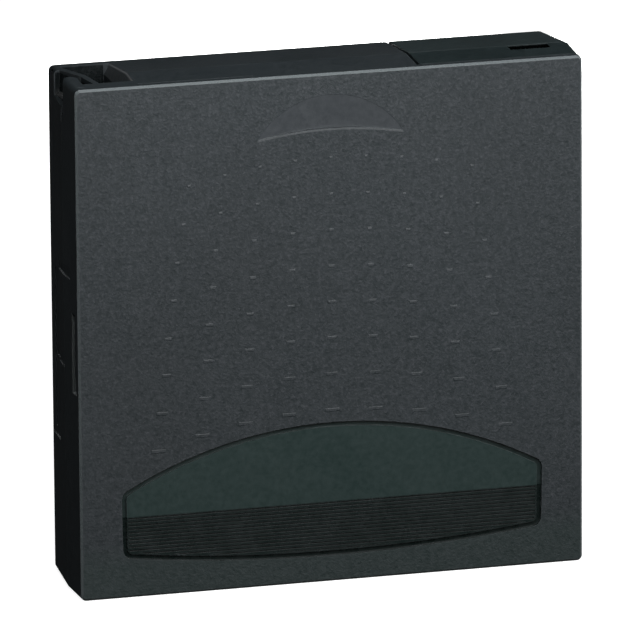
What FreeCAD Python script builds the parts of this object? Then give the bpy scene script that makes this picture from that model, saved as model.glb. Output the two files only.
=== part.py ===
import FreeCAD, Part
import os, math

# Data tape cartridge, half-inch tape on a single reel.
# Frame: origin at the middle of the lower (label) edge's footprint, +Z up to
# the insertion edge, -Y out of the broad cover face, +X to the door side.
# All sizes in millimetres.

# ---------------------------------------------------------------- sizes
W = 105.41            # overall width, at the parting ridge
T = 25.40             # overall thickness
H = 105.79            # overall height, at the parting ridge
PIP_H = 0.05          # height of the raised pips on the cover face
YF = -T / 2 + PIP_H   # front face of the cover
YB = T / 2            # back face of the base
YP = -2.5             # parting plane, where the crowned sides are widest
FRONT_SIDE_IN = 0.45  # draft of the cover's left and right sides
FRONT_TOP_IN = 0.55   # draft of the cover's upper side
BACK_SIDE_IN = 1.05   # draft of the base's left and right sides
BACK_TOP_IN = 1.10    # draft of the base's upper side
CORNER_R = 1.1        # corners seen from the front
FACE_BEVEL = 0.45     # bevel round the cover face
BACK_BEVEL = 0.6      # bevel round the back face
PLATE = 1.8           # thickness of the two broad plates
WALL = 1.9            # thickness of the edge walls

Y_CI = -T / 2 + PLATE # inner face of the cover plate
Y_BI = YB - PLATE     # inner face of the base plate

# reel
ZC = 52.9             # height of the reel axis
R_FLANGE = 48.0
R_HUB = 23.5
R_PACK = 46.4
TAPE_W = 12.65
Y_UF0, Y_UF1 = -5.5, -4.3     # upper flange
Y_LF0, Y_LF1 = 8.7, 9.9       # lower flange
RIM_TEETH = 72
DRIVE_TEETH = 48
R_DRIVE_IN, R_DRIVE_OUT = 14.0, 18.4
R_OPEN = 19.2         # reel opening in the base
LIFT = 2.0            # travel of the reel towards the cover

# door
X_SEAM = 19.0         # the door's free edge
SEAM_GAP = 0.4
DOOR_T = 1.9
HX, HZ = 49.6, 85.5   # hinge axis of the door
R_KNUCKLE = 4.6
R_RELIEF = 4.78
R_POST = 1.2
POST_FIT = 0.06
Y_D0, Y_D1 = Y_CI + 0.2, Y_BI - 0.2
DOOR_SLOT = (39.4, 47.7, -5.5, -2.7)
LUG_X = 19.6          # inner lug that the lock holds

# screws
SCREWS = [(-46.2, 6.2), (46.2, 6.2), (-34.5, 98.6), (46.9, 75.9)]
Y_BOSS = 4.0
R_BOSS = 2.9

# brakes (given for the left; the right one is mirrored)
BX, BZ = -43.5, 19.5

# leader
LPX, LPZ = 37.6, 97.2
R_PIN = 1.1

# lock
LKX, LKZ = 27.4, 97.0

# write-protect slider
WP_X0, WP_X1 = -41.0, -29.0     # slot
WP_TRAVEL = 4.5

V = FreeCAD.Vector


# ---------------------------------------------------------------- helpers
def box(x0, x1, y0, y1, z0, z1):
    return Part.makeBox(x1 - x0, y1 - y0, z1 - z0, V(x0, y0, z0))


def cyl(x, z, r, y0, y1):
    return Part.makeCylinder(r, y1 - y0, V(x, y0, z), V(0, 1, 0))


def ring(x, z, r0, r1, y0, y1):
    return cyl(x, z, r1, y0, y1).cut(cyl(x, z, r0, y0 - 1, y1 + 1))


def hexa(y0, a, y1, b):
    """Solid between two axis-aligned rectangles a, b = (x0, x1, z0, z1)."""
    p = [V(a[0], y0, a[2]), V(a[1], y0, a[2]), V(a[1], y0, a[3]), V(a[0], y0, a[3])]
    q = [V(b[0], y1, b[2]), V(b[1], y1, b[2]), V(b[1], y1, b[3]), V(b[0], y1, b[3])]
    faces = [p, q]
    for i in range(4):
        j = (i + 1) % 4
        faces.append([p[i], p[j], q[j], q[i]])
    fs = [Part.Face(Part.makePolygon(f + [f[0]])) for f in faces]
    s = Part.Solid(Part.makeShell(fs))
    if s.Volume < 0:
        s.reverse()
    return s


def prism_xz(pts, y0, y1):
    """Prism along Y from a polygon of (x, z) points."""
    w = Part.makePolygon([V(x, y0, z) for x, z in pts] + [V(pts[0][0], y0, pts[0][1])])
    return Part.Face(w).extrude(V(0, y1 - y0, 0))


def prism_xy(pts, z0, z1):
    w = Part.makePolygon([V(x, y, z0) for x, y in pts] + [V(pts[0][0], pts[0][1], z0)])
    return Part.Face(w).extrude(V(0, 0, z1 - z0))


def prism_yz(pts, x0, x1):
    w = Part.makePolygon([V(x0, y, z) for y, z in pts] + [V(x0, pts[0][0], pts[0][1])])
    return Part.Face(w).extrude(V(x1 - x0, 0, 0))


def wedge(y0, t0, y1, t1):
    """Solid between two triangles of (x, z) points at y0 and y1."""
    a = Part.makePolygon([V(x, y0, z) for x, z in t0] + [V(t0[0][0], y0, t0[0][1])])
    b = Part.makePolygon([V(x, y1, z) for x, z in t1] + [V(t1[0][0], y1, t1[0][1])])
    return Part.makeLoft([a, b], True, True)


def revolve(pts, x=0.0, z=ZC):
    """Full turn about the Y line through (x, z) of an (r, y) polygon."""
    w = Part.makePolygon([V(x + r, y, z) for r, y in pts] + [V(x + pts[0][0], pts[0][1], z)])
    s = Part.Face(w).revolve(V(x, 0, z), V(0, 1, 0), 360)
    return s


def cut(s, *tools):
    for t in tools:
        s = s.cut(t)
    return s


def fuse(s, *parts):
    for p in parts:
        s = s.fuse(p)
    return s.removeSplitter()


def coil(x, z, r, wire, y0, y1, turns):
    """Wire coil with its axis along Y: an eight-sided section of the round
    wire's area, swept along a helix."""
    h = y1 - y0
    hel = Part.makeHelix(h / turns, h, r)
    n = 8
    rw = wire / 2 / math.sqrt(math.sin(2 * math.pi / n) * n / (2 * math.pi))
    pts = [V(r + rw * math.cos(2 * math.pi * (k + 0.5) / n), 0, rw * math.sin(2 * math.pi * (k + 0.5) / n)) for k in range(n)]
    prof = Part.Wire(Part.makePolygon(pts + [pts[0]]))
    s = Part.Wire(hel.Edges).makePipeShell([prof], True, True)
    s = Part.Solid(s) if s.ShapeType != "Solid" else s
    m = FreeCAD.Placement(V(x, y0, z), FreeCAD.Rotation(V(1, 0, 0), -90))
    s.Placement = m
    if s.Volume < 0:
        s.reverse()
    return s


def biggest(s):
    return max(s.Solids, key=lambda t: t.Volume)


def save(shape, name):
    shape = shape.removeSplitter() if len(shape.Solids) == 1 else shape
    sol = shape.Solids
    out = sol[0] if len(sol) == 1 else Part.makeCompound(sol)
    print("%-22s solids %2d  volume %10.2f mm3  valid %s" % (name, len(sol), out.Volume, out.isValid()))
    out.exportStep("parts/%s.step" % name)
    return out


os.makedirs("parts", exist_ok=True)

# ---------------------------------------------------------------- envelope
hw = W / 2
env_f = hexa(YF, (-hw + FRONT_SIDE_IN, hw - FRONT_SIDE_IN, 0, H - FRONT_TOP_IN),
             YP, (-hw, hw, 0, H))
env_b = hexa(YP, (-hw, hw, 0, H),
             YB, (-hw + BACK_SIDE_IN, hw - BACK_SIDE_IN, 0, H - BACK_TOP_IN))


def depth_edges(s):
    out = []
    for e in s.Edges:
        a, b = e.Vertexes[0].Point, e.Vertexes[-1].Point
        if abs(a.y - b.y) > 5:
            out.append(e)
    return out


def rim_edges(s, y):
    return [e for e in s.Edges if all(abs(v.Point.y - y) < 1e-6 for v in e.Vertexes)]


env_f = env_f.makeFillet(CORNER_R, depth_edges(env_f))
env_b = env_b.makeFillet(CORNER_R, depth_edges(env_b))
env_f = env_f.makeChamfer(FACE_BEVEL, rim_edges(env_f, YF))
env_b = env_b.makeChamfer(BACK_BEVEL, rim_edges(env_b, YB))


def ztop(y):
    """Height of the crowned upper side at depth y."""
    if y <= YP:
        return H - FRONT_TOP_IN * (YP - y) / (YP - YF)
    return H - BACK_TOP_IN * (y - YP) / (YB - YP)


# ---------------------------------------------------------------- corner well
# The notch at the upper left corner: a well with a slanting partition, open
# to the left side between a front post and the back shell's corner.
well_block = box(-hw, -37.9, Y_CI, Y_BI, H - 14.0, H)
WELL_Z = H - 12.0
part_a = (-50.9, 8.4)      # partition, back end
part_b = (-46.95, -8.6)    # partition, front end
PW = 0.6                  # half its thickness, along X
pocket = prism_xy([(part_a[0] + PW, 9.4), (part_b[0] + PW, -8.6), (-41.0, -8.6), (-41.0, 9.4)], WELL_Z, H + 1)
pocket_slope = prism_xz([(-41.01, H - 3.0), (-41.01, H + 1), (-38.3, H + 1), (-39.1, H - 0.0)], -8.6, 9.4)
channel = prism_xy([(-49.75, -8.6), (part_b[0] - PW, -8.6), (part_a[0] - PW + 0.5, 5.6), (-hw - 1, 5.6),
                    (-hw - 1, -3.0), (-49.75, -3.0)], H - 9.0, H + 1)
channel_front = prism_xy([(-49.75, -8.6), (part_b[0] - PW, -8.6), (-48.8, -3.0), (-49.75, -3.0)], H - 9.0, H + 1)
# the channel's outlet in the left side stops on a slope
outlet_fill = prism_xz([(-hw - 1, H - 10), (-49.75, H - 10), (-49.75, H - 4.2), (-hw - 1, H - 6.6)], -3.0, 5.6)
post_round = box(-hw - 1, -49.7, -4.55, -2.9, H - 7.5, H + 1).cut(Part.makeCylinder(1.5, 20, V(-51.25, -4.5, H - 12)))

# ---------------------------------------------------------------- cover
cav_f = box(-hw + 2.35, hw - 2.35, Y_CI, YP + 1, WALL, H - FRONT_TOP_IN - WALL)
cover = env_f.cut(cav_f)
cover = cover.fuse(well_block.common(env_f))
cover = cut(cover, pocket, pocket_slope, channel_front, channel, post_round)

# screw bosses, spring ring, leader seat, stiffening ribs
for (sx, sz) in SCREWS:
    cover = cover.fuse(cyl(sx, sz, R_BOSS, Y_CI - 0.2, Y_BOSS))
cover = cover.fuse(ring(0, ZC, 6.0, 7.6, Y_CI - 0.2, Y_CI + 3.1))
cover = cover.fuse(ring(0, ZC, 30.0, 31.0, Y_CI - 0.2, Y_CI + 1.2))
for k in range(8):
    a = math.radians(22.5 + 45 * k)
    rib = box(7.2, 30.4, Y_CI - 0.2, Y_CI + 1.2, -0.5, 0.5)
    rib.rotate(V(0, 0, 0), V(0, 1, 0), -math.degrees(a))
    rib.translate(V(0, 0, ZC))
    cover = cover.fuse(rib)
# leader pin seat on the cover side
seat_f = box(LPX - 2.6, LPX + 2.6, Y_CI - 0.2, -4.6, LPZ - 2.6, LPZ + 1.0)
seat_f = seat_f.cut(cyl(LPX, LPZ, R_PIN + 0.02, -5.9, -4)).cut(box(LPX - R_PIN - 0.02, LPX + R_PIN + 0.02, -5.9, -4, LPZ, LPZ + 3))
cover = cover.fuse(seat_f)
cover = cover.removeSplitter()

# door opening in the cover: upper wall and upper part of the right wall
x_open = X_SEAM - SEAM_GAP
door_zone_f = box(x_open, hw + 1, Y_CI, YP + 1, HZ, H + 1).cut(
    box(LPX - 3, LPX + 3, Y_CI, YP + 1, LPZ - 3, LPZ + 1.0))
cover = cut(cover, door_zone_f, cyl(HX, HZ, R_RELIEF, Y_CI, YP + 1))
# blind seat for the end of the hinge post
cover = cover.cut(cyl(HX, HZ, R_POST + 0.02, Y_CI - 1.0, YP))
# pilot holes of the screws
for (sx, sz) in SCREWS:
    cover = cover.cut(cyl(sx, sz, 1.05, -6.5, Y_BOSS + 1))
# bevel of the fixed wall's end beside the seam
cover = cover.cut(wedge(Y_CI, [(X_SEAM - 0.85, ztop(Y_CI) + 0.02), (x_open + 0.01, ztop(Y_CI) + 0.02), (x_open + 0.01, ztop(Y_CI) - 0.30)],
                        YP, [(X_SEAM - 0.85, ztop(YP) + 0.02), (x_open + 0.01, ztop(YP) + 0.02), (x_open + 0.01, ztop(YP) - 0.28)]))
# fine line behind the front lip
cover = cover.cut(box(-51.2, -15.2, -10.95, -10.65, H - 1.05, H + 1).cut(box(-49.8, -39.0, -12, -9, H - 3, H + 2)))

# face: arch panel in a groove
SX = 0.992            # the face is a little narrower than the ridge
ax, az = 43.6 * SX, 21.4
bx, bz = 43.4 * SX, 8.7
crown, dip = 32.8, 5.9


def panel_wire(y):
    e = [Part.makeLine(V(-bx, y, bz), V(-ax, y, az)),
         Part.Arc(V(-ax, y, az), V(0, y, crown), V(ax, y, az)).toShape(),
         Part.makeLine(V(ax, y, az), V(bx, y, bz)),
         Part.Arc(V(bx, y, bz), V(0, y, dip), V(-bx, y, bz)).toShape()]
    return Part.Wire(e)


def soften(solid, r):
    es = [e for e in solid.Edges
          if abs(e.Vertexes[0].Point.y - e.Vertexes[-1].Point.y) > 2]
    return solid.makeFillet(r, es)


panel = soften(Part.Face(panel_wire(YF - 1)).extrude(V(0, 3, 0)), 1.6)
pf = [f for f in panel.Faces if all(abs(v.Point.y - YF + 1) < 1e-6 for v in f.Vertexes)][0]


def panel_offset(o):
    return Part.Face(pf.makeOffset2D(o).Wires[0]).extrude(V(0, 3, 0))


p_out = panel_offset(0.5)
p_in = panel_offset(-0.5)
groove = p_out.cut(p_in).common(box(-60, 60, YF - 1, YF + 0.62, 0, 60))
floor = p_in.common(box(-60, 60, YF - 1, YF + 0.22, 0, 60))
cover = cut(cover, groove, floor)
# the panel's fine horizontal ribs, as fourteen grooves between them
RIB_PITCH, RIB_TOP, RIB_N, RIB_W, RIB_D = 0.735, 16.35, 14, 0.34, 0.32
ribs = [box(-43.0, 43.0, YF - 0.5, YF + 0.22 + RIB_D, RIB_TOP - RIB_PITCH * i - RIB_W / 2, RIB_TOP - RIB_PITCH * i + RIB_W / 2)
        for i in range(RIB_N)]
ribs = Part.makeCompound(ribs).common(panel_offset(-0.75))
cover = cover.cut(ribs)
# thumb crescent: a conical scoop cut off by a shallow arc below
CR_R, CR_Z, CR_TIP = 17.7, 83.25, 93.95
CR_DEPTH = 1.05
k_cone = CR_DEPTH / (CR_R - (CR_TIP - CR_Z))
cone = Part.makeCone(CR_R + 0.5 / k_cone, CR_R - 1.6 / k_cone, 2.1, V(0, YF - 0.5, CR_Z), V(0, 1, 0))
cres = cone.cut(cyl(0, CR_TIP - 79.0, 79.0, YF - 2, YF + 3)).common(box(-20, 20, YF - 2, YF + 3, 90, 104))
cover = cover.cut(cres)
# faint raised pips, in rows that droop to the sides
rows = [88.0, 80.5, 73.1, 65.6, 58.2, 50.8, 43.3, 35.8]
steps = [7.3, 7.6, 7.95, 8.15, 8.45, 8.55, 8.8, 9.0]
lens = [0.7, 0.8, 1.0, 1.3, 1.6, 1.9, 2.4, 3.0]
hts = [0.5, 0.5, 0.55, 0.6, 0.6, 0.65, 0.7, 0.7]
pips = []
for rz, st, ln, ht in zip(rows, steps, lens, hts):
    for kx in range(-4, 5):
        x = kx * st
        z = rz - 0.0045 * x * x
        top = (x - ln / 2 + 0.12, x + ln / 2 - 0.12, z - ht / 2 + 0.12, z + ht / 2 - 0.12)
        foot = (x - ln / 2 - 0.35, x + ln / 2 + 0.35, z - ht / 2 - 0.35, z + ht / 2 + 0.35)
        pips.append(hexa(YF - PIP_H, top, YF + 0.1, foot))

# left side of the cover: a shallow finger recess with an upright back wall
cover = cover.cut(prism_xy([(-hw - 1, -12.1), (-51.8, -10.6), (-51.8, -8.1), (-hw - 1, -8.1)], 42.3, 58.8))

# left side of the base: above a ledge the wall falls away towards the cover
STEP, STEP_Y0, STEP_Y1, STEP_Z0, STEP_Z1 = 0.65, 3.2, 12.2, 29.3, 65.0


def side_at(y):
    """The left side's X at depth y, before the set-back."""
    if y <= YP:
        return -hw + FRONT_SIDE_IN * (YP - y) / (YP - YF)
    return -hw + BACK_SIDE_IN * (y - YP) / (YB - YP)


def set_back(y):
    return STEP * (STEP_Y1 - y) / (STEP_Y1 - STEP_Y0)


def side_ledge(y0, y1, z, deep=0.3, rise=2.5, back0=0.0, back1=0.0):
    """Cutter for a fine upward ledge in the left side; above it the wall leans out again."""
    quads = []
    for y, more in ((y0, back0), (y1, back1)):
        x = side_at(y) + more
        pts = [(-hw - 1, z), (x + deep, z), (x - 0.03, z + rise), (-hw - 1, z + rise)]
        quads.append(Part.makePolygon([V(px, y, pz) for px, pz in pts] + [V(pts[0][0], y, pts[0][1])]))
    return Part.makeLoft(quads, True, True)


# fine ledges across the left side
ledges = [side_ledge(-7.3, YP, 65.3), side_ledge(YP, 3.0, 65.3), side_ledge(YP, STEP_Y0, 46.1),
          side_ledge(STEP_Y0, 7.7, 46.1, back0=set_back(STEP_Y0), back1=set_back(7.7))]
cover = cut(cover, ledges[0])

# label recess and slot of the write-protect slider in the lower side
label = box(-24.0, 46.0, -8.6, 8.6, -1, 0.4)
cover = cover.cut(label)
cover = biggest(cover)

# ---------------------------------------------------------------- base
cav_b = box(-hw + 3.0, hw - 3.0, YP - 1, Y_BI, WALL, H - BACK_TOP_IN - WALL)
base = env_b.cut(cav_b)
base = base.fuse(well_block.common(env_b))
base = cut(base, pocket, pocket_slope, channel.cut(outlet_fill))
# screw bosses
for (sx, sz) in SCREWS:
    base = base.fuse(cyl(sx, sz, R_BOSS, Y_BOSS, Y_BI + 0.2))
# the cover's bosses reach past the parting plane, so the walls clear them
for (sx, sz) in SCREWS:
    base = base.cut(cyl(sx, sz, R_BOSS + 0.1, YP - 1, Y_BOSS))
# raised land round the reel opening, which the reel rests on
base = base.fuse(ring(0, ZC, R_OPEN, 22.4, Y_LF1, Y_BI + 0.2))
# posts of the brake levers and of the door lock
posts = []
for s in (-1, 1):
    posts.append(cyl(-s * BX, BZ, 1.5, 4.2, Y_BI + 0.2))
    posts.append(ring(-s * BX, BZ, 1.4, 2.6, 10.15, Y_BI + 0.2))
posts.append(cyl(LKX, LKZ, 1.3, 5.6, Y_BI + 0.2))
posts.append(ring(LKX, LKZ, 1.2, 2.2, 10.35, Y_BI + 0.2))
for p in posts:
    base = base.fuse(p)
# leader pin seat on the base side
seat_b = box(LPX - 2.6, LPX + 2.6, 9.15, Y_BI + 0.2, LPZ - 2.6, LPZ + 1.0)
seat_b = seat_b.cut(cyl(LPX, LPZ, R_PIN + 0.02, 8, 10.4)).cut(box(LPX - R_PIN - 0.02, LPX + R_PIN + 0.02, 8, 10.4, LPZ, LPZ + 3))
base = base.fuse(seat_b)
base = base.removeSplitter()
# door opening: side walls, then the strip of plate that the door's lip covers
door_zone_b = box(x_open, hw + 1, YP - 1, Y_BI, HZ, H + 1)
keep = [cyl(LKX, LKZ, 2.3, YP - 1, Y_BI), box(LPX - 3, LPX + 3, YP - 1, Y_BI, LPZ - 3, LPZ + 1.0)]
for kp in keep:
    door_zone_b = door_zone_b.cut(kp)
base = cut(base, door_zone_b, cyl(HX, HZ, R_RELIEF, YP - 1, Y_BI))
Z_LIP = H - 2.75      # upper edge of the base plate under the door's lip
lip_cut = box(x_open, hw + 1, Y_BI - 0.3, YB + 1, Z_LIP, H + 1)
corner_cut = box(HX, hw + 1, Y_BI - 0.3, YB + 1, HZ + 10, H + 1).cut(cyl(HX, HZ, Z_LIP - HZ - 0.1, YP, YB + 2))
base = cut(base, lip_cut, corner_cut)
# hinge post, standing on the base plate
base = base.fuse(cyl(HX, HZ, R_POST, Y_CI - 0.9, Y_BI + 0.2))
# bevel of the fixed wall's end, on the base's side
base = base.cut(wedge(YP, [(X_SEAM - 0.85, ztop(YP) + 0.02), (x_open + 0.01, ztop(YP) + 0.02), (x_open + 0.01, ztop(YP) - 0.28)],
                      YB, [(X_SEAM - 0.8, ztop(YB) + 0.02), (x_open + 0.01, ztop(YB) + 0.02), (x_open + 0.01, ztop(YB) - 0.22)]))
# reel opening, brake release holes, lock release hole
base = base.cut(cyl(0, ZC, R_OPEN, Y_LF1 - 1, YB + 1))
REL = (-45.2, 12.6)
base = cut(base, cyl(REL[0], REL[1], 2.2, Y_BI - 1, YB + 1), cyl(-REL[0], REL[1], 2.2, Y_BI - 1, YB + 1))
LREL = (32.7, 92.4)
base = base.cut(cyl(LREL[0], LREL[1], 2.2, Y_BI - 1, YB + 1))
# screw holes with counterbores
for (sx, sz) in SCREWS:
    base = cut(base, cyl(sx, sz, 1.55, Y_BOSS - 1, YB + 1), cyl(sx, sz, 2.6, 10.6, YB + 1))
# left side: set-back wall above the ledge, with a fine upright groove
base = base.cut(hexa(STEP_Y0, (-hw - 1, side_at(STEP_Y0) + STEP, STEP_Z0, STEP_Z1),
                     12.5, (-hw - 1, side_at(12.5) + set_back(12.5), STEP_Z0, STEP_Z1)))
base = base.cut(hexa(8.1, (-hw - 1, side_at(8.1) + set_back(8.1) + 0.25, 31.0, 64.0),
                     9.1, (-hw - 1, side_at(9.1) + set_back(9.1) + 0.25, 31.0, 64.0)))
base = cut(base, *ledges[1:])
# write-protect slot and its guides
base = base.cut(box(WP_X0, WP_X1, -1.2, 3.2, -1, WALL + 1))
base = base.fuse(box(WP_X0 - 3.0, WP_X1 + 3.0, -2.45, -1.95, WALL - 0.2, 4.4))
base = base.fuse(box(WP_X0 - 3.0, WP_X1 + 3.0, 4.05, 4.55, WALL - 0.2, 4.4))
base = base.fuse(box(WP_X0 - 3.0, WP_X1 + 3.0, 3.3, 4.1, 3.7, 4.4))
base = base.cut(label)
base = biggest(base)

# the raised pips belong to the cover
cover = cover.fuse(Part.makeCompound(pips))
cover = biggest(cover.removeSplitter())

# ---------------------------------------------------------------- access door
dz0 = H - FRONT_TOP_IN - DOOR_T - 0.05        # inner face of the long leg
door_env = prism_yz([(YF, ztop(YF)), (YP, H), (YB, ztop(YB)), (YB, 60), (YF, 60)], 0, hw + 1).common(
    prism_xy([(0, YF), (hw - FRONT_SIDE_IN, YF), (hw, YP), (hw - BACK_SIDE_IN, YB), (0, YB)], 60, H + 1))
door_env = door_env.makeFillet(CORNER_R + 0.3, [e for e in depth_edges(door_env) if e.BoundBox.ZMin > H - 3 and e.BoundBox.XMin > hw - 3])
door_env = door_env.makeChamfer(BACK_BEVEL - 0.15, [e for e in rim_edges(door_env, YB) if e.BoundBox.ZMax > 62 and e.BoundBox.XMax > 1])
long_leg = box(X_SEAM, hw + 1, Y_D0, YB + 1, dz0, H + 1)
short_leg = box(hw - 2.3, hw + 1, Y_D0, Y_D1, HZ, H + 1)
cap = prism_xz([(HX - 2.4, HZ), (hw + 1, HZ), (hw + 1, HZ + 6), (hw - 2.3, HZ + 6)], Y_D0, Y_D1)
door = fuse(long_leg, short_leg)
lug1 = cyl(HX, HZ, R_KNUCKLE, Y_D0, Y_D1)
door = door.fuse(cap).fuse(lug1)
# gussets inside the corner
door = door.fuse(prism_xz([(44.5, dz0 + 0.1), (hw - 2.2, dz0 + 0.1), (hw - 2.2, dz0 - 5.8)], Y_D0, Y_D0 + 1.2))
door = door.fuse(prism_xz([(44.5, dz0 + 0.1), (hw - 2.2, dz0 + 0.1), (hw - 2.2, dz0 - 5.8)], Y_D1 - 1.2, Y_D1))
door = biggest(door.common(door_env).removeSplitter())
# everything of the door behind the base plate's inner face is its outer lip
door = door.cut(box(0, hw + 2, Y_D1, YB + 1, 0, Z_LIP + 0.2))
# bore on the hinge post, pocket for the coil, its mouth towards the inside
door = cut(door, cyl(HX, HZ, R_POST + POST_FIT, Y_D0 - 1, Y_D1 + 1),
           cyl(HX, HZ, 2.35, -4.0, 4.0),
           box(HX - 6, HX + 1.2, -4.0, 4.0, HZ - 6, HZ + 2.35))
# blind slot near the right end, on the ridge, undercut at the back
door = door.cut(prism_yz([(DOOR_SLOT[2], dz0 + 0.7), (DOOR_SLOT[2], H + 1), (DOOR_SLOT[3], H + 1), (DOOR_SLOT[3], H - 0.08),
                          (DOOR_SLOT[3] + 1.75, dz0 + 0.7)], DOOR_SLOT[0], DOOR_SLOT[1]))
# lug on the inner face for the lock's hook
door = door.fuse(box(LUG_X, LUG_X + 1.6, 8.0, Y_D1, 100.2, dz0 + 0.1))
door = door.fuse(box(LUG_X + 1.5, LUG_X + 2.8, 8.0, Y_D1, 100.2, 101.0))
door = biggest(door)

# ---------------------------------------------------------------- lock
lock = prism_xz([(LKX - 2.2, LKZ + 0.9), (25.0, 99.6), (24.9, 102.15), (23.5, 102.15), (23.5, 101.35), (23.9, 101.1),
                 (23.8, 98.8), (LKX - 1.4, LKZ - 2.0), (LKX + 1.0, LKZ - 2.3), (31.6, 90.9), (33.6, 90.9), (34.2, 93.0),
                 (LKX + 2.3, LKZ + 1.0)],
                9.1, 10.3)
lock = lock.fuse(cyl(LKX, LKZ, 2.5, 9.1, 10.3)).cut(cyl(LKX, LKZ, 1.3 + POST_FIT, 8, 11))
lock = biggest(lock.removeSplitter())
lock_spring = coil(LKX, LKZ, 1.75, 0.4, 6.4, 8.75, 4)

# ---------------------------------------------------------------- reel
hub = revolve([(0, 5.0), (21.5, 5.0), (21.5, -4.3), (R_HUB, -4.3), (R_HUB, Y_LF0),
               (R_FLANGE, Y_LF0), (R_FLANGE, Y_LF1), (R_DRIVE_OUT, Y_LF1), (R_DRIVE_OUT, 11.3),
               (R_DRIVE_IN, 11.3), (R_DRIVE_IN, 6.8), (0, 6.8)])
hub = hub.fuse(cyl(0, ZC, 5.5, -2.6, 5.2))
# drive teeth on the ring
teeth = []
for k in range(DRIVE_TEETH):
    a0 = 2 * math.pi * k / DRIVE_TEETH
    pts = []
    for (r, f) in ((R_DRIVE_IN + 0.3, -0.22), (R_DRIVE_OUT - 0.3, -0.22), (R_DRIVE_OUT - 0.3, 0.22), (R_DRIVE_IN + 0.3, 0.22)):
        a = a0 + f * 2 * math.pi / DRIVE_TEETH
        pts.append((r * math.cos(a), ZC + r * math.sin(a)))
    teeth.append(prism_xz(pts, 11.2, 12.3))
hub = hub.fuse(Part.makeCompound(teeth))
# teeth of the rim, as notches in the lower flange
notches = []
for k in range(RIM_TEETH):
    a0 = 2 * math.pi * (k + 0.5) / RIM_TEETH
    pts = []
    for (r, f) in ((R_FLANGE + 0.5, -0.36), (R_FLANGE - 1.3, 0.0), (R_FLANGE + 0.5, 0.36)):
        a = a0 + f * 2 * math.pi / RIM_TEETH
        pts.append((r * math.cos(a), ZC + r * math.sin(a)))
    notches.append(prism_xz(pts, Y_LF0 - 0.5, Y_LF1 + 0.5))
hub = hub.cut(Part.makeCompound(notches))
# slot in the hub's wall for the tape clip
hub = hub.cut(box(-3.0, 3.0, -3.6, Y_LF0 - 0.4, ZC + 20, ZC + 25))
hub = biggest(hub.removeSplitter())
clip = box(-2.95, 2.95, -3.5, Y_LF0 - 0.5, ZC + 21.3, ZC + 25).cut(cyl(0, ZC, 21.55, -4, 9)).common(cyl(0, ZC, R_HUB, -5, 9)).cut(
    box(-1.2, 1.2, -3.6, Y_LF0, ZC + 21.0, ZC + 22.3))
clip = biggest(clip)

uflange = revolve([(19.9, -2.9), (19.9, Y_UF1), (17.5, Y_UF1), (17.5, Y_UF0), (R_FLANGE, Y_UF0), (R_FLANGE, Y_UF1), (21.45, Y_UF1), (21.45, -2.9)])
# windows in the upper flange
wins = []
for k in range(3):
    a = 90 + 120 * k
    w = ring(0, ZC, 27.0, 43.5, Y_UF0 - 1, Y_UF1 + 1).common(prism_xz(
        [(0, ZC)] + [(60 * math.cos(math.radians(a + d)), ZC + 60 * math.sin(math.radians(a + d))) for d in (-14, 0, 14)],
        Y_UF0 - 1, Y_UF1 + 1))
    wins.append(w)
uflange = uflange.cut(Part.makeCompound(wins))

yt0 = (Y_UF1 + Y_LF0) / 2 - TAPE_W / 2
tape = ring(0, ZC, R_HUB, R_PACK, yt0, yt0 + TAPE_W)

# ---------------------------------------------------------------- button and spring
button = revolve([(0, -4.0), (0, -2.6), (1.6, -2.6), (4.6, -3.0), (5.92, -3.4), (5.92, -8.6), (4.7, -8.6), (4.7, -4.0)])
reel_spring = coil(0, ZC, 3.9, 0.7, Y_CI + 0.38, -4.0 - 0.38, 4)

# ---------------------------------------------------------------- leader
dx, dz = LPX, LPZ - ZC
d = math.hypot(dx, dz)
ang = math.atan2(dz, dx) - math.acos(R_PACK / d)
tp = (R_PACK * math.cos(ang), ZC + R_PACK * math.sin(ang))
ux, uz = LPX - tp[0], LPZ - tp[1]
ul = math.hypot(ux, uz)
ux, uz = ux / ul, uz / ul
nx, nz = uz, -ux                      # to the right of the strip's run
off = R_PIN + 0.06
t0 = 14.6
s0 = (tp[0] + ux * t0, tp[1] + uz * t0)
a0 = (s0[0] + nx * 0.06, s0[1] + nz * 0.06)
e0 = (LPX + nx * off, LPZ + nz * off)
e1 = (LPX + nx * (off + 0.18), LPZ + nz * (off + 0.18))
a1 = (s0[0] + nx * 0.24, s0[1] + nz * 0.24)
strip = prism_xz([a0, e0, e1, a1], yt0, yt0 + TAPE_W)
strip = strip.fuse(ring(LPX, LPZ, off, off + 0.18, yt0, yt0 + TAPE_W)).removeSplitter()
strip = biggest(strip)
pin = cyl(LPX, LPZ, R_PIN, -5.85, 10.35)
pin = pin.makeChamfer(0.25, [e for e in pin.Edges if e.Length < 8 and len(e.Vertexes) == 1])
# wire clip over the pin's cover-side end
clipw = box(LPX - 2.55, LPX + 2.55, -9.0, -8.4, LPZ + 1.0, LPZ + 1.6)
clipw = clipw.fuse(box(LPX - 2.55, LPX - 1.95, -9.0, -5.0, LPZ + 1.0, LPZ + 1.6))
clipw = clipw.fuse(box(LPX + 1.95, LPX + 2.55, -9.0, -5.0, LPZ + 1.0, LPZ + 1.6))
clipw = clipw.fuse(box(LPX - 2.55, LPX + 2.55, -5.6, -5.0, LPZ + 1.12, LPZ + 1.6))
clipw = biggest(clipw.removeSplitter())

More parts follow.
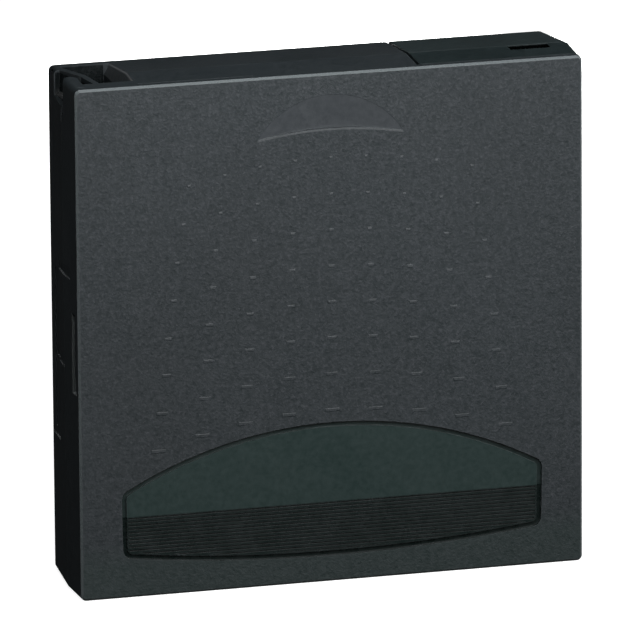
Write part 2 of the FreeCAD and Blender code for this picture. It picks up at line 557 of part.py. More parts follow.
# ---------------------------------------------------------------- brakes
rim = (-35.4, 19.2)
lever = prism_xz([(BX + 0.5, BZ + 2.4), (-37.6, 21.7), (-36.55, 20.95), (-35.9, 20.35), (-34.9, 19.15), (-34.6, 17.9), (-36.6, 17.0),
                  (BX + 1.5, BZ - 2.2), (-43.4, 12.2), (-47.0, 11.4), (-46.7, 16.0), (BX - 2.2, BZ + 0.5)], 8.75, 10.1)
lever = lever.fuse(cyl(BX, BZ, 2.6, 8.75, 10.1))
lever = lever.cut(cyl(BX, BZ, 1.5 + POST_FIT, 8, 11))
# clearance to the rim's tips
lever = lever.cut(cyl(0, ZC, R_FLANGE + 0.3, 8, 11))
lever = biggest(lever.removeSplitter())
bspring = coil(BX, BZ, 2.05, 0.45, 5.0, 8.4, 5)
mir = lambda s: s.mirror(V(0, 0, 0), V(1, 0, 0))

# ---------------------------------------------------------------- slider
sl = box(WP_X0 - 0.6, WP_X0 + 7.6, -1.85, 3.95, WALL + 0.05, 3.55)
sl = sl.fuse(box(WP_X0 + 0.3, WP_X0 + 6.7, -1.1, 3.1, 0.35, WALL + 0.3))
for gx in (1.4, 2.9, 4.4):
    sl = sl.cut(box(WP_X0 + gx, WP_X0 + gx + 0.7, -2, 4, 0.0, 0.65))
slider = biggest(sl.removeSplitter())

# ---------------------------------------------------------------- screws
scr = []
for (sx, sz) in SCREWS:
    s = cyl(sx, sz, 2.4, 10.65, 11.95)
    s = s.cut(box(sx - 1.5, sx + 1.5, 11.2, 13, sz - 0.3, sz + 0.3)).cut(box(sx - 0.3, sx + 0.3, 11.2, 13, sz - 1.5, sz + 1.5))
    s = s.fuse(cyl(sx, sz, 1.4, Y_BOSS, 10.7)).fuse(cyl(sx, sz, 1.04, -5.5, Y_BOSS + 0.1))
    s = s.fuse(Part.makeCone(0.2, 1.04, 0.9, V(sx, -6.4, sz), V(0, 1, 0)))
    scr.append(biggest(s.removeSplitter()))

# ---------------------------------------------------------------- output
save(cover, "top_cover")
save(base, "base_shell")
save(door, "access_door")
save(coil(HX, HZ, 1.75, 0.5, -3.4, 3.4, 9), "door_spring")
save(lock, "door_lock")
save(lock_spring, "door_lock_spring")
save(hub, "reel_hub")
save(uflange, "upper_flange")
save(tape, "tape_pack")
save(clip, "hub_tape_clip")
save(strip, "leader_strip")
save(pin, "leader_pin")
save(clipw, "leader_pin_clip")
save(button, "thrust_button")
save(reel_spring, "reel_spring")
save(lever, "brake_lever_left")
save(mir(lever), "brake_lever_right")
save(bspring, "brake_spring_left")
save(mir(bspring), "brake_spring_right")
save(slider, "write_protect_slider")
save(Part.makeCompound(scr), "case_screws")
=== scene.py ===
import math

import bpy
from mathutils import Matrix, Vector


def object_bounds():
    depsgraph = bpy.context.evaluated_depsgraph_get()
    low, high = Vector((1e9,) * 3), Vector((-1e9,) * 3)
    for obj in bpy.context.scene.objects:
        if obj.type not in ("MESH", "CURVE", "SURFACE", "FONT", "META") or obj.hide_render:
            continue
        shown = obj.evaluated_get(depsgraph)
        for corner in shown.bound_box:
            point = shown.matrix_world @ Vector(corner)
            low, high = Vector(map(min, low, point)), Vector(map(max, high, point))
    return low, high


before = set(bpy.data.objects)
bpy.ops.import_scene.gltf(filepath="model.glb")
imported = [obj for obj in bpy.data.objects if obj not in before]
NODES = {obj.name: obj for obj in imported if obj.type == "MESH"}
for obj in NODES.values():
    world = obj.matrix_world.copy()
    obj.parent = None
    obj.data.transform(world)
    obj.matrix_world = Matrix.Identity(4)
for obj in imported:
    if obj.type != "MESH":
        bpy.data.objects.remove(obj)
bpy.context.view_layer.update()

LO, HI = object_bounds()
MID = (LO + HI) / 2
W, T, H = HI - LO

# ------------------------------------------------------------------ node helpers


class Graph:
    """A small writer for one material's node tree. Patterns are laid out in millimetres of the row frame."""

    def __init__(self, name):
        self.mat = bpy.data.materials.new(name)
        self.mat.use_nodes = True
        self.tree = self.mat.node_tree
        self.tree.nodes.clear()
        self.out = self.new("ShaderNodeOutputMaterial")
        self.bsdf = self.new("ShaderNodeBsdfPrincipled")
        self.tree.links.new(self.bsdf.outputs[0], self.out.inputs[0])
        coord = self.new("ShaderNodeTexCoord")
        self.mm = self.vec("SCALE", coord.outputs["Object"], scale=1000.0)
        self.facing = coord.outputs["Normal"]
        sep = self.new("ShaderNodeSeparateXYZ")
        self.put(sep.inputs[0], self.mm)
        self.x, self.y, self.z = sep.outputs
        sep = self.new("ShaderNodeSeparateXYZ")
        self.put(sep.inputs[0], self.facing)
        self.nx, self.ny, self.nz = sep.outputs

    def new(self, kind):
        return self.tree.nodes.new(kind)

    def put(self, socket, value):
        if isinstance(value, bpy.types.NodeSocket):
            self.tree.links.new(value, socket)
        elif isinstance(value, (tuple, list)) and len(value) == 3 and socket.type == "RGBA":
            socket.default_value = (*value, 1.0)
        else:
            socket.default_value = value

    def vec(self, op, a, b=None, scale=None):
        n = self.new("ShaderNodeVectorMath")
        n.operation = op
        self.put(n.inputs[0], a)
        if b is not None:
            self.put(n.inputs[1], b)
        if scale is not None:
            self.put(n.inputs["Scale"], scale)
        return n.outputs["Value"] if op in ("LENGTH", "DOT_PRODUCT", "DISTANCE") else n.outputs[0]

    def math(self, op, a, b=None, c=None, clamp=False):
        n = self.new("ShaderNodeMath")
        n.operation, n.use_clamp = op, clamp
        for i, v in enumerate((a, b, c)):
            if v is not None:
                self.put(n.inputs[i], v)
        return n.outputs[0]

    def span(self, value, lo, hi, a=0.0, b=1.0, smooth=False):
        n = self.new("ShaderNodeMapRange")
        n.interpolation_type = "SMOOTHSTEP" if smooth else "LINEAR"
        for i, v in enumerate((value, lo, hi, a, b)):
            self.put(n.inputs[i], v)
        return n.outputs[0]

    def mul(self, *values):
        total = values[0]
        for v in values[1:]:
            total = self.math("MULTIPLY", total, v)
        return total

    def add(self, *values):
        total = values[0]
        for v in values[1:]:
            total = self.math("ADD", total, v)
        return total

    def within(self, value, lo, hi, soft=0.05):
        """1 where value lies between lo and hi, with soft ends."""
        up = self.span(value, lo - soft, lo + soft)
        down = self.span(value, hi - soft, hi + soft, 1.0, 0.0)
        return self.mul(up, down)

    def noise(self, scale, detail=2.0, rough=0.5, distort=0.0, vector=None, seed=0.0):
        n = self.new("ShaderNodeTexNoise")
        n.noise_dimensions = "4D"
        self.put(n.inputs["Vector"], self.mm if vector is None else vector)
        self.put(n.inputs["W"], seed)
        self.put(n.inputs["Scale"], scale)
        self.put(n.inputs["Detail"], detail)
        self.put(n.inputs["Roughness"], rough)
        self.put(n.inputs["Distortion"], distort)
        return n.outputs[0]

    def cells(self, scale, kind="F1", randomness=1.0, vector=None):
        n = self.new("ShaderNodeTexVoronoi")
        n.feature = kind
        self.put(n.inputs["Vector"], self.mm if vector is None else vector)
        self.put(n.inputs["Scale"], scale)
        self.put(n.inputs["Randomness"], randomness)
        return n.outputs["Distance"]

    def stretch(self, sx, sy, sz, turn=0.0):
        """The millimetre coordinates scaled along each axis, and turned about Y first."""
        source = self.mm
        if turn:
            r = self.new("ShaderNodeVectorRotate")
            r.rotation_type = "Y_AXIS"
            self.put(r.inputs["Vector"], source)
            self.put(r.inputs["Angle"], math.radians(turn))
            source = r.outputs[0]
        return self.vec("MULTIPLY", source, (sx, sy, sz))

    def colour(self, factor, a, b):
        n = self.new("ShaderNodeMix")
        n.data_type = "RGBA"
        self.put(n.inputs[0], factor)
        self.put(n.inputs[6], a)
        self.put(n.inputs[7], b)
        return n.outputs[2]

    def scaled(self, tint, amount):
        """A colour times a number."""
        n = self.new("ShaderNodeMix")
        n.data_type, n.blend_type = "RGBA", "MULTIPLY"
        self.put(n.inputs[0], 1.0)
        self.put(n.inputs[6], tint)
        grey = self.new("ShaderNodeCombineXYZ")
        for i in range(3):
            self.put(grey.inputs[i], amount)
        self.tree.links.new(grey.outputs[0], n.inputs[7])
        return n.outputs[2]

    def worn_edge(self, radius_mm, breakup=0.35):
        """0 on open faces and up to 1 along outer edges, broken up the way handling wears them."""
        b = self.new("ShaderNodeBevel")
        b.samples = 6
        self.put(b.inputs["Radius"], radius_mm / 1000)
        g = self.new("ShaderNodeNewGeometry")
        bend = self.math("SUBTRACT", 1.0, self.vec("DOT_PRODUCT", b.outputs[0], g.outputs["Normal"]))
        edge = self.span(bend, 0.01, 0.16)
        patch = self.span(self.noise(breakup, 3.0, 0.6, seed=7.0), 0.38, 0.62, 0.35, 1.0)
        return self.mul(edge, patch)

    def bump(self, height, distance_mm, strength=1.0, normal=None):
        n = self.new("ShaderNodeBump")
        self.put(n.inputs["Height"], height)
        self.put(n.inputs["Distance"], distance_mm / 1000)
        self.put(n.inputs["Strength"], strength)
        if normal is not None:
            self.put(n.inputs["Normal"], normal)
        return n.outputs[0]

    def finish(self, base, roughness, normal, **fixed):
        self.put(self.bsdf.inputs["Base Color"], base)
        self.put(self.bsdf.inputs["Roughness"], roughness)
        self.put(self.bsdf.inputs["Normal"], normal)
        for key, value in fixed.items():
            self.bsdf.inputs[key.replace("_", " ")].default_value = value
        return self.mat


# ------------------------------------------------------------------ plastics

DEEP = (0.0110, 0.0160, 0.0180)      # the moulding's own dark green-grey
PALE = (0.0415, 0.0472, 0.0535)      # where the grain's tips have been rubbed


def radius_of(g, cx, cz):
    """Distance from a line along Y, in millimetres."""
    dx = g.math("SUBTRACT", g.x, cx)
    dz = g.math("SUBTRACT", g.z, cz)
    return g.math("SQRT", g.add(g.mul(dx, dx), g.mul(dz, dz)))


def shell_plastic(name, cover):
    """Spark-textured moulding. The two big faces carry the coarse grain, the rims and inner walls a finer one."""
    g = Graph(name)
    lean = g.math("ABSOLUTE", g.ny)
    flat = g.span(lean, 0.90, 0.985)
    tilted = g.mul(g.span(lean, 0.30, 0.45), g.span(lean, 0.90, 0.82))
    panel = sunk_shade_zone = scoop = None
    if cover:
        front = g.span(g.y, -12.30, -12.52)
        rim = g.mul(tilted, g.span(g.y, -12.10, -12.20))
        inside = g.mul(g.within(g.x, -46.5, 46.5, 0.3), g.within(g.z, 1.5, 40.0, 0.3))
        panel = g.mul(inside, g.span(g.y, -12.56, -12.48), g.span(g.y, -10.6, -10.9))
        sunk_shade_zone = g.mul(panel, g.span(g.y, -12.37, -12.30))
        scoop = g.mul(g.span(radius_of(g, 0.0, 83.25), 17.78, 17.55), g.span(radius_of(g, 0.0, 14.95), 78.9, 79.1))
        rim = g.mul(rim, g.math("SUBTRACT", 1.0, panel), g.math("SUBTRACT", 1.0, scoop))
    else:
        front = g.span(g.y, 12.30, 12.52)
        rim = g.mul(tilted, g.span(g.y, 12.00, 12.10))
    grainy = g.mul(flat, front)
    if cover:
        grainy = g.mul(grainy, g.math("SUBTRACT", 1.0, panel), g.math("SUBTRACT", 1.0, scoop))

    coarse = g.noise(1.75, 3.0, 0.64, 0.3, seed=1.0)
    pits = g.cells(2.3, "SMOOTH_F1")
    fine = g.noise(7.0, 2.0, 0.6, seed=2.0)
    spark = g.add(g.mul(g.span(coarse, 0.30, 0.70), 0.70), g.mul(pits, 0.55), g.mul(fine, 0.22))
    satin = g.add(g.mul(g.noise(4.2, 3.0, 0.65, seed=3.0), 0.6), g.mul(fine, 0.5))
    relief = g.colour(grainy, satin, spark)

    # colour: slow drift of the pigment, mottling of the grain and rubbed tips, then painted light and shade, and edges
    # partly worn and partly painted as highlights
    drift = g.span(g.noise(0.028, 2.0, 0.5, seed=4.0), 0.3, 0.7, 0.93, 1.07)
    mottle = g.span(g.noise(0.95, 4.0, 0.72, 0.25, seed=5.0), 0.34, 0.66)
    tips = g.mul(g.span(coarse, 0.50, 0.70), grainy)
    base = g.colour(g.mul(mottle, g.span(grainy, 0.0, 1.0, 0.34, 0.52)), DEEP, PALE)
    base = g.colour(g.mul(tips, 0.46), base, (0.060, 0.063, 0.071))
    base = g.scaled(base, drift)
    if cover:
        # painted shade: the front face is painted darker and greener towards its bottom edge
        painted_bottom_shade = g.mul(front, g.span(g.z, 12.0, 6.5))
        base = g.colour(g.mul(painted_bottom_shade, 0.65), base, g.colour(mottle, (0.0105, 0.0210, 0.0190), (0.0215, 0.0330, 0.0315)))
        leaf = g.colour(mottle, (0.0112, 0.0248, 0.0226), (0.0185, 0.0344, 0.0324))
        base = g.colour(g.mul(panel, 0.94), base, leaf)
        # painted shade: the reeded strip at the foot of the panel is painted much darker for the shade in its grooves
        reeded_shade_zone = g.mul(panel, g.span(g.z, 16.75, 16.65))
        base = g.colour(g.mul(reeded_shade_zone, 0.94), base, g.colour(mottle, (0.0020, 0.0066, 0.0058), (0.0050, 0.0102, 0.0092)))
        # painted shade: the groove floors of the panel are painted near black
        base = g.colour(g.mul(sunk_shade_zone, g.span(g.y, -12.10, -12.05, 0.90, 0.50)), base, (0.0018, 0.0034, 0.0032))
        # painted light: the frontmost faces are painted lighter towards the top, where light from above falls
        proud_painted_light = g.mul(flat, g.span(g.y, -12.66, -12.695))
        base = g.colour(g.mul(proud_painted_light, g.span(g.z, 45.0, 76.0, 0.06, 0.42)), base, (0.088, 0.096, 0.101))
        # painted light: the crescent's smooth hollow is painted lighter to offset the shade of its downward-turned
        # slope
        base = g.colour(g.mul(scoop, 0.85), base, g.colour(mottle, (0.047, 0.052, 0.057), (0.060, 0.066, 0.072)))
        # painted highlight: a bright line along the crescent's lower edge
        lip_painted_highlight = g.mul(g.within(radius_of(g, 0.0, 14.95), 78.62, 79.02, 0.08), g.span(radius_of(g, 0.0, 83.25), 17.75, 17.3), flat, front)
        base = g.colour(g.mul(lip_painted_highlight, 0.50), base, (0.105, 0.112, 0.118))
    # the front chamfers are polished, and also painted lighter as a painted highlight of the light from above
    base = g.colour(g.mul(rim, 0.75), base, (0.105, 0.120, 0.124))
    # the corner well's inner walls are painted near black as painted shade
    well_painted_shade = g.mul(g.within(g.x, -51.9, -41.06, 0.05), g.within(g.y, -8.7, 9.5, 0.05), g.span(g.z, 105.0, 104.6), g.span(g.z, 90.0, 91.0))
    base = g.colour(g.mul(well_painted_shade, 0.85), base, (0.0030, 0.0042, 0.0044))
    # its slanting end wall is set to a flat mid grey, with a painted highlight along the upper edge
    drop = g.math("SUBTRACT", 105.79, g.math("MAXIMUM", g.mul(g.add(g.y, 2.5), 0.0724), g.mul(g.add(g.y, 2.5), -0.0542)))
    drop = g.math("SUBTRACT", drop, g.z)
    end_wall_mask = g.mul(g.span(g.nz, 0.20, 0.35), g.within(g.x, -41.06, -38.6, 0.03), g.within(g.y, -8.65, 9.45, 0.03), g.span(g.z, 102.2, 102.6), g.span(drop, 0.03, 0.12))
    base = g.colour(g.mul(end_wall_mask, 0.80), base, (0.030, 0.034, 0.036))
    end_wall_painted_highlight = g.mul(end_wall_mask, g.span(drop, 0.48, 0.28))
    base = g.colour(g.mul(end_wall_painted_highlight, 0.85), base, (0.150, 0.155, 0.162))
    # narrow upward ledges and the finger recess's front-facing wall on the left side are painted lighter: painted light
    # on the ledges, a bright painted highlight on the wall
    left = g.span(g.x, -51.25, -51.45)
    ledge_painted_light = g.mul(left, g.span(g.nz, 0.75, 0.92), g.within(g.z, 29.0, 66.0, 0.1))
    bar_painted_highlight = g.mul(left, g.within(g.y, -8.25, -7.95, 0.04), g.span(g.ny, -0.75, -0.92), g.within(g.z, 42.2, 58.9, 0.05))
    painted_light_mask = g.math("MAXIMUM", ledge_painted_light, bar_painted_highlight)
    base = g.colour(g.mul(painted_light_mask, 0.85), base, g.colour(bar_painted_highlight, (0.230, 0.245, 0.245), (0.075, 0.084, 0.083)))
    # outer edges lighter: partly handling wear, partly a painted highlight for the light the edges catch
    wear = g.worn_edge(0.25)
    base = g.colour(g.mul(wear, 0.45), base, (0.085, 0.095, 0.098))

    # roughness: matt grain, satin rims, faint handling marks on the big faces
    smear = g.span(g.noise(0.075, 3.0, 0.55, 0.6, vector=g.stretch(1.0, 1.0, 0.45, 24.0), seed=6.0), 0.42, 0.66)
    rough = g.span(grainy, 0.0, 1.0, 0.50, 0.56)
    rough = g.add(rough, g.mul(g.math("SUBTRACT", fine, 0.5), 0.16), g.mul(g.math("SUBTRACT", mottle, 0.5), 0.10),
                  g.mul(smear, -0.05), g.mul(wear, -0.08), g.mul(rim, -0.18), g.mul(well_painted_shade, -0.22))
    if cover:
        rough = g.add(rough, g.mul(panel, -0.04), g.mul(reeded_shade_zone, -0.10), g.mul(sunk_shade_zone, -0.05), g.mul(scoop, -0.08))
    rough = g.math("MINIMUM", g.math("MAXIMUM", rough, 0.2), 0.97)

    blotch = g.noise(0.9, 3.0, 0.6, 0.4, seed=8.0)
    swell = g.span(grainy, 0.0, 1.0, 2.4, 0.25)
    if cover:
        swell = g.mul(swell, g.span(panel, 0.0, 1.0, 1.0, 0.12), g.span(scoop, 0.0, 1.0, 1.0, 0.3))
    relief = g.add(relief, g.mul(blotch, swell))
    depth = g.span(grainy, 0.0, 1.0, 0.30, 1.0)
    normal = g.bump(g.mul(relief, depth), 0.046, 1.0)
    return g.finish(base, rough, normal, IOR=1.5, Specular_IOR_Level=0.5)


def moulded(name, deep, pale, grain=4.0, depth=0.010, rough=0.45, edge=(0.09, 0.1, 0.1), extra=None, **fixed):
    """A finer, more even moulding for the smaller plastic pieces."""
    g = Graph(name)
    fine = g.noise(grain, 4.0, 0.65, seed=1.0)
    slow = g.noise(0.11, 2.0, 0.5, 0.5, seed=2.0)
    flow = g.noise(0.5, 3.0, 0.6, 0.8, vector=g.stretch(0.35, 1.0, 1.3, 18.0), seed=3.0)
    base = g.colour(g.span(fine, 0.3, 0.7), deep, pale)
    base = g.scaled(base, g.span(slow, 0.3, 0.7, 0.88, 1.1))
    base = g.scaled(base, g.span(flow, 0.3, 0.7, 0.95, 1.05))
    wear = g.worn_edge(0.22, 0.6)
    base = g.colour(g.mul(wear, 0.5), base, edge)
    r = g.add(rough, g.mul(g.math("SUBTRACT", fine, 0.5), 0.22), g.mul(g.math("SUBTRACT", slow, 0.5), 0.12), g.mul(wear, -0.08))
    if extra:
        base, r = extra(g, base, r)
    return g.finish(base, r, g.bump(fine, depth), **fixed)


def white_acetal(name):
    """Natural acetal: slightly see-through white with a soft sheen and faint grey handling marks."""
    g = Graph(name)
    fine = g.noise(5.0, 4.0, 0.6, seed=1.0)
    slow = g.noise(0.35, 3.0, 0.6, 0.7, seed=2.0)
    base = g.colour(g.span(slow, 0.3, 0.7), (0.70, 0.69, 0.64), (0.78, 0.77, 0.74))
    soil = g.mul(g.span(g.noise(0.9, 4.0, 0.7, seed=3.0), 0.52, 0.78), 0.25)
    base = g.colour(soil, base, (0.46, 0.45, 0.41))
    wear = g.worn_edge(0.2, 0.8)
    base = g.colour(g.mul(wear, 0.35), base, (0.86, 0.85, 0.83))
    rough = g.add(0.40, g.mul(g.math("SUBTRACT", fine, 0.5), 0.25), g.mul(soil, 0.3))
    g.bsdf.inputs["Subsurface Weight"].default_value = 0.18
    g.bsdf.inputs["Subsurface Radius"].default_value = (0.0011, 0.0010, 0.0008)
    g.bsdf.inputs["Subsurface Scale"].default_value = 1.0
    return g.finish(base, rough, g.bump(fine, 0.008))


# ------------------------------------------------------------------ tape, film and metal

AXIS = (0.0, 52.9)  # the reel's axis, along Y, in millimetres


def wound_tape(name):
    """Thousands of turns seen edge-on: fine rings of slightly different brown, and a smooth outer wrap."""
    g = Graph(name)
    r = radius_of(g, *AXIS)
    ring = g.new("ShaderNodeCombineXYZ")
    g.put(ring.inputs[0], r)
    rings = g.noise(6.0, 3.0, 0.75, vector=ring.outputs[0], seed=1.0)
    bands = g.noise(0.45, 3.0, 0.6, vector=ring.outputs[0], seed=2.0)
    patch = g.noise(0.25, 3.0, 0.5, seed=3.0)
    side = g.new("ShaderNodeCombineXYZ")
    g.put(side.inputs[1], g.y)
    across = g.noise(1.4, 3.0, 0.6, vector=side.outputs[0], seed=4.0)
    ends = g.span(g.math("ABSOLUTE", g.ny), 0.6, 0.9)
    lines = g.colour(ends, across, g.add(g.mul(rings, 0.7), g.mul(bands, 0.3)))
    base = g.colour(g.span(lines, 0.3, 0.7), (0.018, 0.013, 0.011), (0.052, 0.039, 0.032))
    base = g.scaled(base, g.span(patch, 0.3, 0.7, 0.9, 1.1))
    rough = g.colour(ends, g.span(across, 0.3, 0.7, 0.16, 0.26), g.span(rings, 0.3, 0.7, 0.30, 0.48))
    return g.finish(base, rough, g.bump(g.colour(ends, g.mul(across, 0.3), rings), 0.012))


def film(name):
    """Pale polyester leader film: clear-looking sheen, long drawn streaks and a little haze."""
    g = Graph(name)
    streak = g.noise(1.6, 3.0, 0.6, vector=g.stretch(0.06, 1.6, 0.06), seed=1.0)
    haze = g.noise(0.3, 3.0, 0.6, seed=2.0)
    base = g.colour(g.span(streak, 0.3, 0.7), (0.55, 0.55, 0.53), (0.66, 0.66, 0.64))
    base = g.scaled(base, g.span(haze, 0.3, 0.7, 0.93, 1.04))
    rough = g.span(haze, 0.3, 0.7, 0.14, 0.28)
    return g.finish(base, rough, g.bump(streak, 0.004))


def steel(name, dark, light, rough=0.3, streak=(6.0, 6.0, 0.8), depth=0.004):
    """Drawn or ground steel: fine streaks, a little tint, and slow changes of polish."""
    g = Graph(name)
    lines = g.noise(2.2, 4.0, 0.7, vector=g.stretch(*streak), seed=1.0)
    slow = g.noise(0.5, 3.0, 0.6, 0.4, seed=2.0)
    base = g.colour(g.span(lines, 0.3, 0.7), dark, light)
    base = g.scaled(base, g.span(slow, 0.3, 0.7, 0.82, 1.08))
    r = g.add(rough, g.mul(g.math("SUBTRACT", lines, 0.5), 0.25), g.mul(g.math("SUBTRACT", slow, 0.5), 0.2))
    r = g.math("MAXIMUM", r, 0.08)
    return g.finish(base, r, g.bump(lines, depth), Metallic=1.0)


SCREWS = ((-46.2, 6.2), (46.2, 6.2), (-34.5, 98.6), (46.9, 75.9))


def screw_metal(name):
    """Plated screws: rings from the header round each screw's own axis."""
    g = Graph(name)
    r = None
    for cx, cz in SCREWS:
        one = radius_of(g, cx, cz)
        r = one if r is None else g.math("MINIMUM", r, one)
    ring = g.new("ShaderNodeCombineXYZ")
    g.put(ring.inputs[0], r)
    turned = g.noise(5.0, 3.0, 0.7, vector=ring.outputs[0], seed=1.0)
    stain = g.noise(0.9, 4.0, 0.65, 0.5, seed=2.0)
    base = g.colour(g.span(stain, 0.3, 0.7), (0.20, 0.20, 0.215), (0.36, 0.36, 0.37))
    base = g.scaled(base, g.span(turned, 0.3, 0.7, 0.88, 1.08))
    wear = g.worn_edge(0.15, 1.2)
    base = g.colour(g.mul(wear, 0.5), base, (0.55, 0.55, 0.56))
    rough = g.add(0.30, g.mul(g.math("SUBTRACT", stain, 0.5), 0.3), g.mul(wear, -0.08))
    return g.finish(base, rough, g.bump(turned, 0.006), Metallic=1.0)


# ------------------------------------------------------------------ who wears what

COVER = shell_plastic("cover_moulding", True)
SHELL = shell_plastic("shell_moulding", False)
def door_marks(g, base, rough):
    """The door's outer side: a ridge line with a painted highlight, the front half of its top darkened as painted
    shade, and a slot painted near black as shade.
    """
    upper = g.span(g.z, 103.0, 103.4)
    # painted shade: the front half of the door's top is painted darker
    front = g.mul(g.span(g.y, -2.3, -2.9), upper)
    base = g.scaled(base, g.span(front, 0.0, 1.0, 1.0, 0.80))
    # painted highlight: a pale, broken line along the ridge on the door's top
    patch = g.span(g.noise(0.3, 3.0, 0.6, seed=9.0), 0.35, 0.65, 0.5, 1.0)
    ridge_painted_highlight = g.mul(g.within(g.y, -2.72, -2.22, 0.14), upper, patch)
    base = g.colour(g.mul(ridge_painted_highlight, 0.5), base, (0.048, 0.058, 0.060))
    # painted shade: the slot's mouth and the hollow under it are painted near black
    mouth = g.mul(g.within(g.y, -5.55, -2.65, 0.02), g.span(g.z, 105.72, 105.55))
    under = g.mul(g.within(g.y, -5.55, -0.85, 0.02), g.span(g.z, 105.55, 105.45))
    slot = g.mul(g.within(g.x, 39.35, 47.75, 0.02), g.math("MAXIMUM", mouth, under), upper)
    return g.colour(slot, base, (0.0012, 0.0016, 0.0016)), g.add(rough, g.mul(slot, -0.25), g.mul(front, -0.05))


DOOR = moulded("door_moulding", (0.0035, 0.0092, 0.0100), (0.0165, 0.0270, 0.0285), 1.3, 0.060, 0.52,
               (0.075, 0.085, 0.088), extra=door_marks, IOR=1.5)
REEL = moulded("reel_moulding", (0.028, 0.029, 0.032), (0.046, 0.047, 0.051), 4.5, 0.007, 0.38, (0.13, 0.13, 0.135))
FLANGE = moulded("flange_moulding", (0.034, 0.035, 0.038), (0.052, 0.053, 0.057), 4.5, 0.006, 0.34, (0.13, 0.13, 0.135))
TAPE = wound_tape("wound_tape")
FILM = film("leader_film")
ACETAL = white_acetal("white_acetal")
SPRING = steel("spring_wire", (0.26, 0.25, 0.245), (0.50, 0.49, 0.48), 0.30, (3.0, 3.0, 3.0))
PIN = steel("ground_pin", (0.48, 0.48, 0.49), (0.68, 0.68, 0.69), 0.20, (0.6, 9.0, 0.6), 0.003)
SCREW = screw_metal("plated_screw")
ORANGE = moulded("slider_moulding", (0.62, 0.135, 0.018), (0.78, 0.20, 0.032), 3.5, 0.008, 0.38, (0.90, 0.40, 0.16))

WEARS = {
    "top_cover": COVER,
    "base_shell": SHELL,
    "access_door": DOOR,
    "door_spring": SPRING,
    "door_lock_spring": SPRING,
    "reel_spring": SPRING,
    "brake_spring_left": SPRING,
    "brake_spring_right": SPRING,
    "door_lock": ACETAL,
    "thrust_button": ACETAL,
    "brake_lever_left": ACETAL,
    "brake_lever_right": ACETAL,
    "reel_hub": REEL,
    "upper_flange": FLANGE,
    "hub_tape_clip": REEL,
    "tape_pack": TAPE,
    "leader_strip": FILM,
    "leader_pin": PIN,
    "leader_pin_clip": ACETAL,
    "write_protect_slider": ORANGE,
    "case_screws": SCREW,
}
for node, o in NODES.items():
    made = WEARS[node]
    if not o.data.materials:
        o.data.materials.append(made)
    for slot in o.material_slots:
        slot.material = made

# ------------------------------------------------------------------ the plain studio

mesh = bpy.data.meshes.new("studio_floor")
S = 4.0
mesh.from_pydata([(-S, -S, 0), (S, -S, 0), (S, S, 0), (-S, S, 0)], [], [(0, 1, 2, 3)])
floor = bpy.data.objects.new("studio_floor", mesh)
floor.location.z = LO.z - 0.00005
bpy.context.scene.collection.objects.link(floor)
paper = bpy.data.materials.new("studio_paper")
paper.use_nodes = True
nt = paper.node_tree
nt.nodes.clear()
end = nt.nodes.new("ShaderNodeOutputMaterial")
both = nt.nodes.new("ShaderNodeAddShader")
lit = nt.nodes.new("ShaderNodeBsdfDiffuse")
lit.inputs[0].default_value = (0.55, 0.55, 0.55, 1)
glow = nt.nodes.new("ShaderNodeEmission")
glow.inputs[0].default_value = (1, 1, 1, 1)
glow.inputs[1].default_value = 0.90
nt.links.new(lit.outputs[0], both.inputs[0])
nt.links.new(glow.outputs[0], both.inputs[1])
nt.links.new(both.outputs[0], end.inputs[0])
mesh.materials.append(paper)
floor.visible_diffuse = floor.visible_glossy = floor.visible_transmission = False


def softbox(name, place, aim, wide, tall, watts, tint=(1.0, 1.0, 1.0)):
    data = bpy.data.lights.new(name, "AREA")
    data.shape, data.size, data.size_y = "RECTANGLE", wide, tall
    data.energy, data.color = watts, tint
    o = bpy.data.objects.new(name, data)
    o.location = place
    o.rotation_mode = "QUATERNION"
    o.rotation_quaternion = (Vector(aim) - Vector(place)).to_track_quat("-Z", "Y")
    o.visible_camera = False
    bpy.context.scene.collection.objects.link(o)
    return o


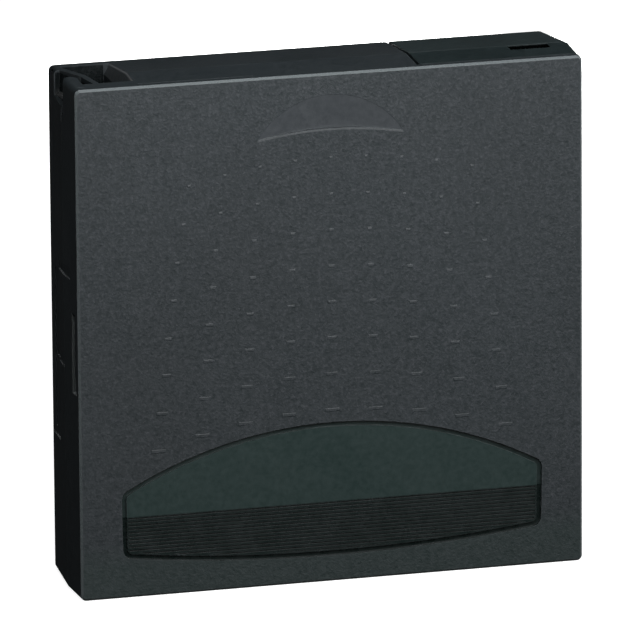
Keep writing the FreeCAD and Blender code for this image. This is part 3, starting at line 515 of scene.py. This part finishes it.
softbox("key", (0.03, -0.22, 0.24), (0.0, -0.01, 0.09), 0.40, 0.06, 1.03, (0.99, 1.0, 1.01))
softbox("high_front", (0.05, -0.28, 0.42), (0.0, 0.0, 0.09), 0.50, 0.12, 0.3)
softbox("overhead", (0.05, -0.10, 0.70), (0.0, 0.0, 0.1), 0.40, 0.30, 0.95, (0.94, 0.98, 1.0))
softbox("far_front", (0.30, -1.0, 0.35), (0.0, 0.0, 0.05), 0.60, 0.60, 2.7, (0.98, 1.0, 0.995))
softbox("right_side", (0.75, 0.02, 0.22), (0.0, 0.0, 0.05), 0.40, 0.40, 1.0)
softbox("right_back", (0.72, 0.60, 0.16), (0.0, 0.0, 0.05), 0.40, 0.20, 1.5)
softbox("low_back", (0.20, 0.42, 0.037), (0.0, 0.0, 0.045), 0.50, 0.06, 2.0)
softbox("left_side", (-0.75, 0.02, 0.15), (0.0, 0.0, 0.05), 0.40, 0.24, 0.6)

world = bpy.data.worlds.new("studio_air")
bpy.context.scene.world = world
world.use_nodes = True
nt = world.node_tree
nt.nodes.clear()
end = nt.nodes.new("ShaderNodeOutputWorld")
seen = nt.nodes.new("ShaderNodeBackground")
seen.inputs[0].default_value = (1, 1, 1, 1)
seen.inputs[1].default_value = 1.0
air = nt.nodes.new("ShaderNodeBackground")
air.inputs[0].default_value = (0.96, 0.98, 1.0, 1)
air.inputs[1].default_value = 0.010
pick = nt.nodes.new("ShaderNodeMixShader")
path = nt.nodes.new("ShaderNodeLightPath")
nt.links.new(path.outputs["Is Camera Ray"], pick.inputs[0])
nt.links.new(air.outputs[0], pick.inputs[1])
nt.links.new(seen.outputs[0], pick.inputs[2])
nt.links.new(pick.outputs[0], end.inputs[0])

# ------------------------------------------------------------------ camera

AZ, EL, ROLL, FAR = math.radians(-15.0), math.radians(15.0), math.radians(-0.397), 2.05
back = Vector((math.sin(AZ) * math.cos(EL), -math.cos(AZ) * math.cos(EL), math.sin(EL)))
right = Vector((math.cos(AZ), math.sin(AZ), 0.0))
up = back.cross(right)
r2 = right * math.cos(ROLL) + up * math.sin(ROLL)
u2 = -right * math.sin(ROLL) + up * math.cos(ROLL)
cam_data = bpy.data.cameras.new("camera")
cam_data.sensor_fit, cam_data.sensor_width = "HORIZONTAL", 36.0
cam_data.lens = 10185.4 / 640 * 36.0
cam_data.clip_start, cam_data.clip_end = 0.05, 50.0
cam = bpy.data.objects.new("camera", cam_data)
bpy.context.scene.collection.objects.link(cam)
turn = Matrix((r2, u2, back)).transposed().to_4x4()
turn.translation = Vector((0, 0, 0.0529)) + back * FAR + r2 * 0.000889 + u2 * -0.00165
cam.matrix_world = turn
bpy.context.scene.camera = cam

view = bpy.context.scene.view_settings
view.view_transform, view.look, view.exposure, view.gamma = "Standard", "None", 0.0, 1.0
